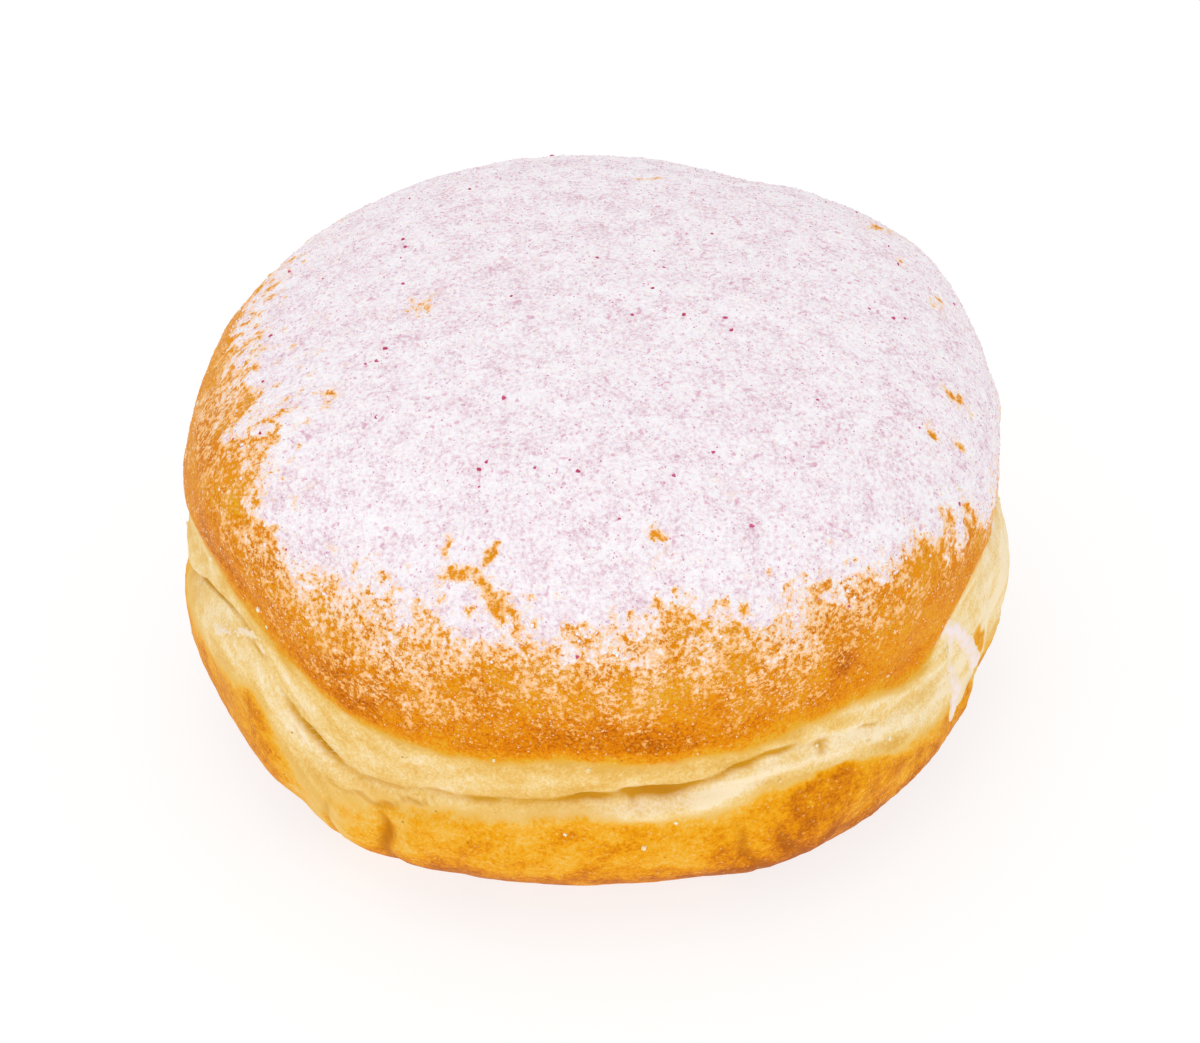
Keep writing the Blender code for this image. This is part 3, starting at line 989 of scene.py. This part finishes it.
def fried_dough():
    """Yeast dough fried in oil: a thin golden crust with fine pores and pale pips, which are painted
    highlights on its tiny blisters, and a soft cream-coloured belt that the oil never reached. Its folds
    and pinpricks are painted darker as painted shade, and the ledge under the crease lighter as painted
    light. The thin end of the dusting lies on it."""
    material, tree, shader = new_material("fried_dough")
    place = add(tree, "ShaderNodeTexCoord").outputs["Object"]
    upper, lower, dust, folds, pale = (
        add(tree, "ShaderNodeAttribute", attribute_name=name).outputs["Fac"]
        for name in ("upper_fry", "lower_fry", "dusting", "folds", "paleness")
    )
    blotches = add(tree, "ShaderNodeTexNoise", {"Vector": place, "Scale": cells(3.2), "Detail": 4.0})
    pores = add(tree, "ShaderNodeTexNoise", {
        "Vector": place, "Scale": cells(0.6), "Detail": 3.0, "Roughness": 0.65,
    })
    grain = add(tree, "ShaderNodeTexNoise", {
        "Vector": place, "Scale": cells(0.30), "Detail": 2.0, "Roughness": 0.8,
    })
    uneven = add(tree, "ShaderNodeMath", {0: blotches.outputs[0], 1: pores.outputs[0]}, operation="ADD")
    shift = add(tree, "ShaderNodeMapRange", {
        "Value": uneven.outputs[0], "From Min": 0.7, "From Max": 1.3, "To Min": -0.20, "To Max": 0.20,
    })
    over, under, soft = (
        unsettled(tree, value, shift.outputs[0], grain.outputs[0], coarseness)
        for value, coarseness in ((upper, 1.0), (lower, 0.4), (pale, 0.8))
    )
    cream = add(tree, "ShaderNodeValToRGB", {0: soft}, stops=[
        (0.05, "#e6b356"), (0.32, "#efc470"), (0.60, "#f5d592"), (0.95, "#fde9c4"),
    ])
    underside = add(tree, "ShaderNodeValToRGB", {0: under}, stops=[
        (0.16, "#f0c56a"), (0.36, "#f2b436"), (0.54, "#efa206"), (0.76, "#d97f04"), (1.0, "#b25c06"),
    ])
    fried_over = add(tree, "ShaderNodeMapRange", {"Value": upper, "From Min": 0.02, "From Max": 0.34})
    fried_under = add(tree, "ShaderNodeMapRange", {"Value": lower, "From Min": 0.02, "From Max": 0.34})
    topped = add(tree, "ShaderNodeMix", {
        SHARE: fried_over.outputs[0], FIRST: cream.outputs[0], SECOND: upper_crust(tree, over),
    }, data_type="RGBA")
    golden = add(tree, "ShaderNodeMix", {
        SHARE: fried_under.outputs[0], FIRST: topped.outputs[2], SECOND: underside.outputs[0],
    }, data_type="RGBA")

    # Pale pips: painted highlights on the crust's tiny blisters, which the bump also raises
    pip_cells = add(tree, "ShaderNodeTexVoronoi", {"Vector": place, "Scale": cells(0.8)})
    pip_highlights = add(tree, "ShaderNodeMapRange", {
        "Value": pip_cells.outputs["Distance"], "From Min": 0.08, "From Max": 0.24,
        "To Min": 0.34, "To Max": 0.0,
    })
    highlighted = add(tree, "ShaderNodeMix", {
        SHARE: pip_highlights.outputs[0], FIRST: golden.outputs[2], SECOND: hexed("#fbdc92"),
    }, data_type="RGBA")
    # Dark pinpricks: painted shade of tiny holes, which the skin itself doesn't have
    prick_cells = add(tree, "ShaderNodeTexVoronoi", {"Vector": place, "Scale": cells(3.4)})
    pricks = add(tree, "ShaderNodeMapRange", {
        "Value": prick_cells.outputs["Distance"], "From Min": 0.02, "From Max": 0.05,
        "To Min": 0.7, "To Max": 0.0,
    })
    pricked = add(tree, "ShaderNodeMix", {
        SHARE: pricks.outputs[0], FIRST: highlighted.outputs[2], SECOND: hexed("#8a4f16"),
    }, data_type="RGBA")
    # Painted shade in the folds: the deeper a fold, the more it turns a darker amber. The toasted streaks
    # take their own brown from it too.
    deep = add(tree, "ShaderNodeMapRange", {
        "Value": folds, "From Min": 0.10, "From Max": 0.60, "To Max": 0.95,
    })
    fold_shade_and_toast = add(tree, "ShaderNodeMix", {
        SHARE: fried_under.outputs[0], FIRST: hexed("#d6980e"), SECOND: hexed("#c87c08"),
    }, data_type="RGBA")
    creased = add(tree, "ShaderNodeMix", {
        SHARE: deep.outputs[0], FIRST: pricked.outputs[2], SECOND: fold_shade_and_toast.outputs[2],
    }, data_type="RGBA")
    colour, powder, _ = powdered(tree, place, dust, creased.outputs[2])
    tree.links.new(colour, shader.inputs["Base Color"])

    gloss = add(tree, "ShaderNodeMapRange", {"Value": powder, "To Min": 0.50, "To Max": 0.92})
    tree.links.new(gloss.outputs[0], shader.inputs["Roughness"])
    raised = add(tree, "ShaderNodeMath", {0: powder, 1: pores.outputs[0]}, operation="ADD")
    raised = add(tree, "ShaderNodeMath", {0: raised.outputs[0], 1: pip_highlights.outputs[0]}, operation="ADD")
    bump = add(tree, "ShaderNodeBump", {
        "Height": raised.outputs[0], "Strength": 0.55, "Distance": 0.12 * MM,
    })
    tree.links.new(bump.outputs[0], shader.inputs["Normal"])
    all_over(shader, {
        "Subsurface Weight": 0.12, "Subsurface Radius": (1.0, 0.6, 0.3),
        "Subsurface Scale": 1.0 * MM, "Specular IOR Level": 0.04,
    })
    return material


def icing_sugar():
    """Icing sugar with powdered dried berry: dead matt, off-white, mottled with lilac and pink; the darker
    lilac is partly painted shade between the clots.
    Where the coat thins out, the crust shows between its clots."""
    material, tree, shader = new_material("icing_sugar")
    place = add(tree, "ShaderNodeTexCoord").outputs["Object"]
    upper = add(tree, "ShaderNodeAttribute", attribute_name="upper_fry").outputs["Fac"]
    dust = add(tree, "ShaderNodeAttribute", attribute_name="dusting").outputs["Fac"]
    colour, powder, mottle = powdered(tree, place, dust, upper_crust(tree, upper))
    tree.links.new(colour, shader.inputs["Base Color"])
    raised = add(tree, "ShaderNodeMath", {0: powder, 1: mottle}, operation="ADD")
    bump = add(tree, "ShaderNodeBump", {
        "Height": raised.outputs[0], "Strength": 0.5, "Distance": 0.10 * MM,
    })
    tree.links.new(bump.outputs[0], shader.inputs["Normal"])
    all_over(shader, {
        "Roughness": 0.95, "Specular IOR Level": 0.15, "Subsurface Weight": 0.10,
        "Subsurface Scale": 0.5 * MM,
    })
    return material


def grains(name, dark, light, lightest_at=1.0):
    """A material in which each grain has a shade of its own between two colours."""
    material, tree, shader = new_material(name)
    tint = add(tree, "ShaderNodeAttribute", attribute_name="tint")
    colour = add(tree, "ShaderNodeValToRGB", {0: tint.outputs["Fac"]}, stops=[
        (0.0, dark), (lightest_at, light),
    ])
    tree.links.new(colour.outputs[0], shader.inputs["Base Color"])
    return material, shader


def loose_powder(name, dark, light):
    """Grains and clots of icing sugar: matt, off-white on the coat and warm where the crust shines
    through them, each a little different."""
    material, shader = grains(name, dark, light, 0.6)
    all_over(shader, {"Roughness": 0.9, "Specular IOR Level": 0.25})
    return material


def dried_fruit(name, dark, light):
    """Freeze-dried berry, ground up: matt, from lilac dust to crimson flecks of skin."""
    material, shader = grains(name, dark, light)
    all_over(shader, {"Roughness": 0.75})
    return material


def crystal_sugar():
    """Coarse sugar: clear crystals, drawn in the pale gold of the dough that shows through them."""
    material, shader = grains("crystal_sugar", "#f8d99c", "#fdf0d4")
    all_over(shader, {
        "Roughness": 0.4, "IOR": 1.56, "Subsurface Weight": 0.5, "Subsurface Scale": 0.4 * MM,
    })
    return material


def melted():
    """Sugar that has drawn damp: milky with a wet gloss, pinkish where it is thick and creamy where
    it thins out."""
    material, tree, shader = new_material("melted_sugar")
    place = add(tree, "ShaderNodeTexCoord").outputs["Object"]
    milky = add(tree, "ShaderNodeTexNoise", {"Vector": place, "Scale": cells(0.8), "Detail": 3.0})
    thick = add(tree, "ShaderNodeAttribute", attribute_name="thickness").outputs["Fac"]
    body = add(tree, "ShaderNodeMath", {0: thick, 1: 1.2, 2: milky.outputs[0]}, operation="MULTIPLY_ADD")
    colour = add(tree, "ShaderNodeValToRGB", {0: body.outputs[0]}, stops=[
        (0.60, "#f7e0b0"), (0.74, "#f8e2cc"), (0.92, "#f9e9e8"),
    ])
    tree.links.new(colour.outputs[0], shader.inputs["Base Color"])
    bump = add(tree, "ShaderNodeBump", {
        "Height": milky.outputs[0], "Strength": 0.6, "Distance": 0.25 * MM,
    })
    tree.links.new(bump.outputs[0], shader.inputs["Normal"])
    all_over(shader, {"Roughness": 0.35, "IOR": 1.47, "Specular IOR Level": 0.3})
    return material


# ---- The studio: a white floor, soft light and the camera ----

# The camera circles its focus and looks at its aim. Its rise and roll are in degrees, its distance
# is in metres and its lens in mm
CAMERA_RISE = 35.7
CAMERA_DISTANCE = 0.310
CAMERA_FOCUS = Vector((0, 0, 25.5 * MM))
CAMERA_AIM = Vector((0.5 * MM, 0, 19.8 * MM))
CAMERA_ROLL = 2.1
CAMERA_LENS = 87.0

FLOOR_SIZE = 3.0
FLOOR_GLOW = 0.78
ROOM_LIGHT = 0.70


def camera():
    """The camera, which looks down on the front."""
    lens = bpy.data.cameras.new("camera")
    lens.lens = CAMERA_LENS
    eye = shown("camera", lens)
    rise = CAMERA_RISE * DEGREE
    eye.location = CAMERA_FOCUS + Vector((0, -math.cos(rise), math.sin(rise))) * CAMERA_DISTANCE
    look = (CAMERA_AIM - eye.location).to_track_quat("-Z", "Y").to_matrix()
    eye.rotation_euler = (look @ Matrix.Rotation(-CAMERA_ROLL * DEGREE, 3, "Z")).to_euler()
    bpy.context.scene.camera = eye


def floor():
    """A white light table, wide enough for every view: it glows a little, so its shadows stay pale."""
    material, tree, shader = new_material("white_acrylic")
    place = add(tree, "ShaderNodeTexCoord").outputs["Object"]
    grain = add(tree, "ShaderNodeTexNoise", {"Vector": place, "Scale": cells(300.0)})
    colour = add(tree, "ShaderNodeValToRGB", {0: grain.outputs[0]}, stops=[
        (0.0, "#888888"), (1.0, "#8c8c8c"),
    ])
    tree.links.new(colour.outputs[0], shader.inputs["Base Color"])
    all_over(shader, {
        "Roughness": 0.9, "Specular IOR Level": 0.1, "Emission Color": (1, 1, 1, 1),
        "Emission Strength": FLOOR_GLOW,
    })
    shape = bmesh.new()
    bmesh.ops.create_grid(shape, x_segments=1, y_segments=1, size=FLOOR_SIZE)
    piece_from(shape, "floor", material, flat=True)


def softbox(name, place, size, power):
    """A square area light that faces the middle of the doughnut."""
    panel = bpy.data.lights.new(name, "AREA")
    panel.shape = "SQUARE"
    panel.size = size
    panel.energy = power
    lamp = shown(name, panel)
    lamp.location = place
    lamp.rotation_euler = (CAMERA_FOCUS - lamp.location).to_track_quat("-Z", "Y").to_euler()


def studio():
    """The floor, three soft lights and an evenly lit room."""
    floor()
    softbox("overhead", Vector((-0.10, 0.10, 0.75)), 0.7, 1.4)
    softbox("front_left", Vector((-0.50, -0.65, 0.30)), 0.6, 0.95)
    softbox("front_right", Vector((0.50, -0.60, 0.25)), 0.6, 0.85)
    world = bpy.data.worlds.new("white_room")
    world.use_nodes = True
    background = world.node_tree.nodes["Background"]
    background.inputs["Color"].default_value = (1, 1, 1, 1)
    background.inputs["Strength"].default_value = ROOM_LIGHT
    bpy.context.scene.world = world
    bpy.context.scene.view_settings.view_transform = "Standard"


def doughnut():
    """Every piece of the doughnut, all of them riding on its one body."""
    skin, site = dough_skin()
    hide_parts("doughnut")
    coat = sugar_coat()
    for piece in [skin, coat, melted_sugar()] + sow_sugar(skin, site, coat):
        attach(piece, "root")


camera()
doughnut()
studio()
